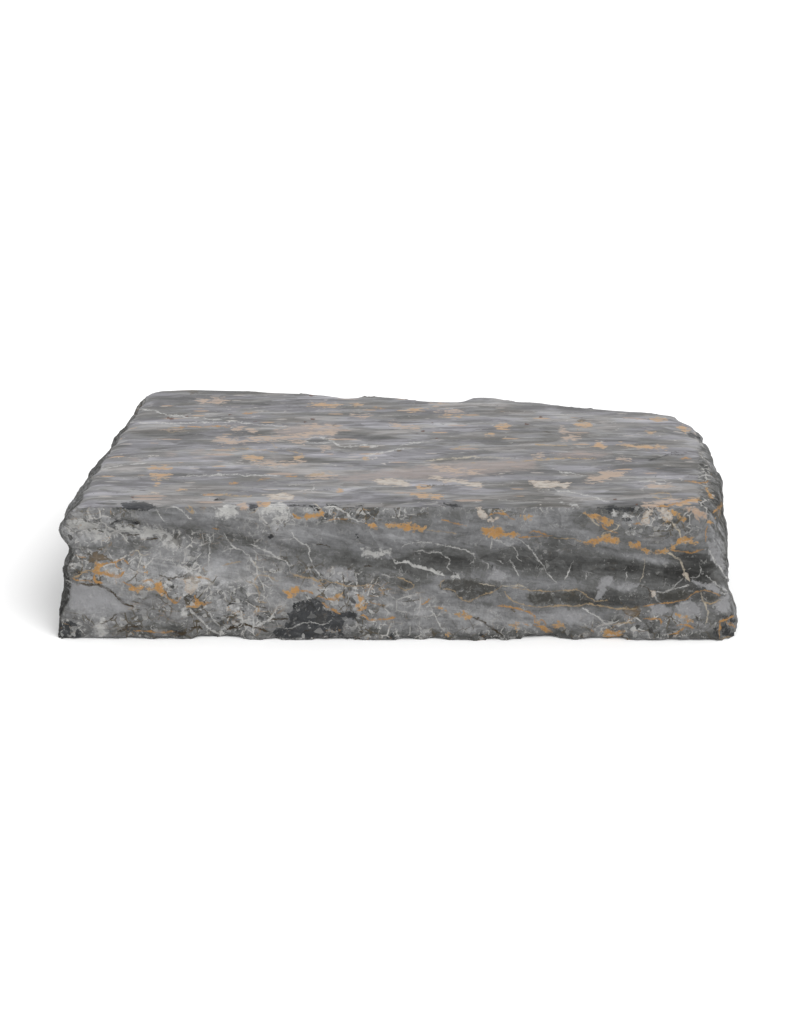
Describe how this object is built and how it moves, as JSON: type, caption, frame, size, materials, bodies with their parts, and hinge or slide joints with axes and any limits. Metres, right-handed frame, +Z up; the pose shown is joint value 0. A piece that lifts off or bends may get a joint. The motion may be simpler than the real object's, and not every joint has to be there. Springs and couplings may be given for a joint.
{
  "type": "marble block",
  "caption": "Low rectangular block of grey marble with a flat worked top, rough-hewn sides and a sawn underside to rest on.",
  "frame": {"origin": "middle of the bounding box, on the sawn underside", "axes": "+X along the block's length, +Y from the front towards the back, +Z up"},
  "size_m": [1.2376, 0.718, 0.2489],
  "materials": {
    "marble": "honed top, hewn sides, grey with ochre and white veins"
  },
  "bodies": {
    "root": {"marble_block": "marble"}
  },
  "joints": []
}
